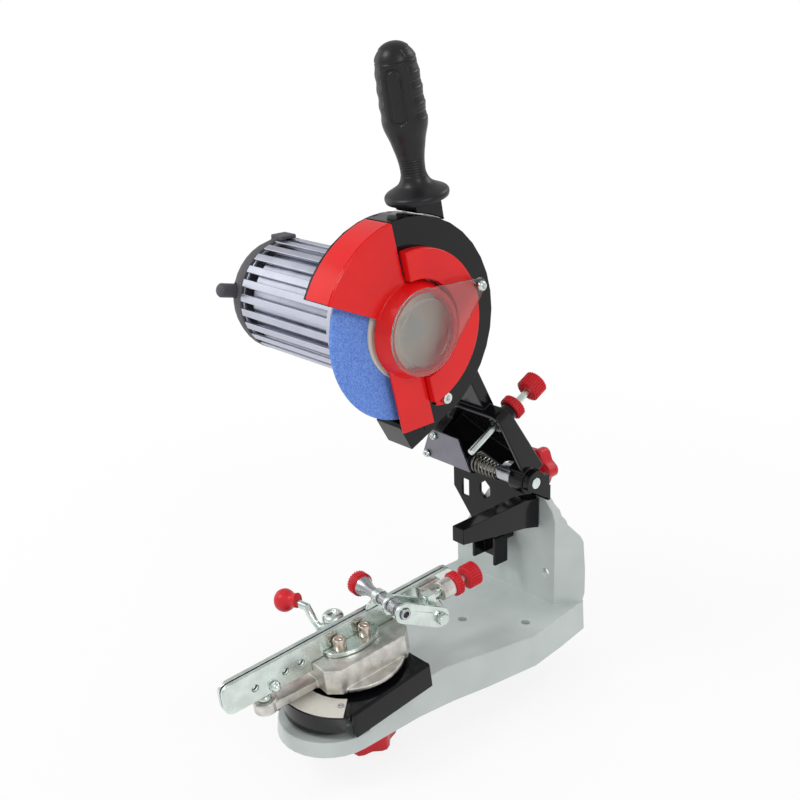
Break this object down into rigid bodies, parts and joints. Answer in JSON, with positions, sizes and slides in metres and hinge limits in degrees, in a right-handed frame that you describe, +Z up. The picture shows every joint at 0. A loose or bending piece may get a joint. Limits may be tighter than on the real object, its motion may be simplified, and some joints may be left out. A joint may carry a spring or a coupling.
{
  "type": "electric chainsaw sharpener",
  "caption": "Bench chainsaw sharpener: a spring-raised motor head with guarded grinding wheel swings over a tilting, swivelling rail vise with a screw-set chain stop.",
  "frame": {"origin": "on the bench plane, in the grinding wheel's plane, under the middle of the web that carries the upright", "axes": "+Z up, +Y to the back where the upright stands, +X to the side of the wheel's clear cap"},
  "size_m": [0.2289, 0.3544, 0.5478],
  "materials": {
    "grey_paint": "light grey gloss paint",
    "black_paint": "gloss black paint",
    "red_paint": "gloss red paint",
    "zinc": "bright zinc plate",
    "steel": "plain steel",
    "raw_cast": "as cast",
    "motor_silver": "satin",
    "red_knob": "moulded",
    "dark_plastic": "fine matt",
    "black_grip": "satin",
    "clear_plastic": "clear",
    "abrasive": "bonded grit, speckled",
    "scale_print": "white with plain black marks",
    "paper_washer": "beige blotting paper"
  },
  "bodies": {
    "base": {"base_casting": "grey_paint", "tilt_lock_stud": "steel", "tilt_pivot_bolt": "steel"},
    "tilt_lock": {"tilt_lock_knob": "red_knob"},
    "bracket": {"tilt_bracket": "black_paint", "hinge_pin": "zinc", "spring_sleeve": "steel", "return_spring": "steel"},
    "head": {"arm_casting": "black_paint", "arm_plate": "steel", "plate_screw_low": "zinc", "plate_screw_high": "zinc", "guard_housing": "black_paint", "guard_band": "red_paint", "side_cover": "red_paint", "clear_cap": "clear_plastic", "cap_screw": "zinc", "cover_screw": "zinc", "motor_flange": "motor_silver", "motor_can": "motor_silver", "motor_fins": "motor_silver", "motor_end_cap": "dark_plastic", "cable_gland": "dark_plastic", "handle_grip": "black_grip", "handle_block": "black_paint"},
    "wheel": {"grinding_wheel": "abrasive", "outer_flange": "paper_washer", "inner_flange": "steel", "wheel_nut": "zinc", "motor_shaft": "steel"},
    "depth_screw": {"depth_rod": "zinc"},
    "depth_screw_knob": {"depth_knob": "red_knob"},
    "depth_lock": {"depth_lock_knob": "red_knob"},
    "saddle": {"vise_saddle": "black_paint", "scale_plate": "scale_print", "scale_rivet": "zinc", "clamp_bolt": "steel", "clamp_washer": "steel"},
    "clamp_nut": {"clamp_knob": "red_knob"},
    "vise": {"turntable": "raw_cast", "fixed_jaw": "zinc", "jaw_plate": "zinc", "jaw_screw_left": "zinc", "jaw_screw_right": "zinc", "foot_screw": "zinc", "rail_bolt": "zinc", "lever_bolt": "zinc", "stop_mount": "raw_cast"},
    "jaw": {"moving_jaw": "zinc"},
    "lever": {"cam_lever": "zinc", "lever_ball": "red_knob"},
    "carriage": {"adjuster_rod": "zinc", "link_bolt": "zinc"},
    "adjuster": {"adjuster_knob": "red_knob"},
    "adjuster_lock": {"adjuster_lock_knob": "red_knob"},
    "stop": {"stop_link": "zinc", "stop_shaft": "steel", "stop_cap": "red_knob"},
    "pawl": {"stop_pawl": "zinc"}
  },
  "joints": [
    {"name": "head_tilt", "type": "hinge", "parent": "base", "child": "bracket", "pos_m": [-0.005, 0, 0.108], "axis": [0, 1, 0], "range_deg": [-30, 0]},
    {"name": "head_swing", "type": "hinge", "parent": "bracket", "child": "head", "pos_m": [0, -0.0215, 0.1507], "axis": [1, 0, 0], "range_deg": [0, 45], "stiffness_Nm_per_rad": 8, "springref_deg": -63.03},
    {"name": "wheel_spin", "type": "hinge", "parent": "head", "child": "wheel", "pos_m": [0, -0.14025, 0.30851], "axis": [1, 0, 0], "continuous": true},
    {"name": "depth_slide", "type": "slide", "parent": "head", "child": "depth_screw", "axis": [0, 0.8821, 0.471], "range_m": [-0.006, 0.012]},
    {"name": "depth_knob_turn", "type": "hinge", "parent": "depth_screw", "child": "depth_screw_knob", "pos_m": [0.0075, -0.0825, 0.1915], "axis": [0, 0.8821, 0.471], "range_deg": [-1440, 2880]},
    {"name": "depth_lock_turn", "type": "hinge", "parent": "head", "child": "depth_lock", "pos_m": [0.0075, -0.0825, 0.1915], "axis": [0, 0.8821, 0.471], "range_deg": [0, 360]},
    {"name": "tilt_lock_turn", "type": "hinge", "parent": "base", "child": "tilt_lock", "pos_m": [-0.013, 0.02, 0.142], "axis": [0, 1, 0], "range_deg": [0, 360]},
    {"name": "vise_tilt", "type": "hinge", "parent": "base", "child": "saddle", "pos_m": [0, -0.2115, 0.088], "axis": [1, 0, 0], "range_deg": [-17.5, 2.5]},
    {"name": "vise_swivel", "type": "hinge", "parent": "saddle", "child": "vise", "pos_m": [0, -0.2115, 0.088], "axis": [0, -0.1305, 0.9914], "range_deg": [-120.2, 5]},
    {"name": "clamp_knob_turn", "type": "hinge", "parent": "saddle", "child": "clamp_nut", "pos_m": [0, -0.2115, 0.088], "axis": [0, -0.1305, 0.9914], "range_deg": [0, 360]},
    {"name": "lever_turn", "type": "hinge", "parent": "vise", "child": "lever", "pos_m": [-0.02483, -0.20844, 0.0884], "axis": [0, 0.1305, -0.9914], "range_deg": [0, 100]},
    {"name": "jaw_slide", "type": "slide", "parent": "vise", "child": "jaw", "axis": [-0.9965, 0.083, 0.0109], "range_m": [0, 0.0012]},
    {"name": "adjuster_slide", "type": "slide", "parent": "vise", "child": "carriage", "axis": [0.0837, 0.988, 0.1301], "range_m": [-0.006, 0.001]},
    {"name": "adjuster_knob_turn", "type": "hinge", "parent": "carriage", "child": "adjuster", "pos_m": [0.03428, -0.11486, 0.10072], "axis": [0.0837, 0.988, 0.1301], "range_deg": [-2160, 360]},
    {"name": "adjuster_lock_turn", "type": "hinge", "parent": "vise", "child": "adjuster_lock", "pos_m": [0.03327, -0.12672, 0.09916], "axis": [0.0837, 0.988, 0.1301], "range_deg": [0, 360]},
    {"name": "stop_lift", "type": "hinge", "parent": "carriage", "child": "stop", "pos_m": [0.00519, -0.14842, 0.08218], "axis": [0.9965, -0.083, -0.0109], "range_deg": [-35, 0]},
    {"name": "pawl_flip", "type": "hinge", "parent": "stop", "child": "pawl", "pos_m": [0.00247, -0.18327, 0.09878], "axis": [0.9965, -0.083, -0.0109], "range_deg": [-45, 0]}
  ],
  "couplings": [
    {"joint": "depth_knob_turn", "follows": "depth_slide", "rad_per_m": 4188},
    {"joint": "lever_turn", "follows": "jaw_slide", "rad_per_m": 1454},
    {"joint": "adjuster_knob_turn", "follows": "adjuster_slide", "rad_per_m": 6283}
  ]
}
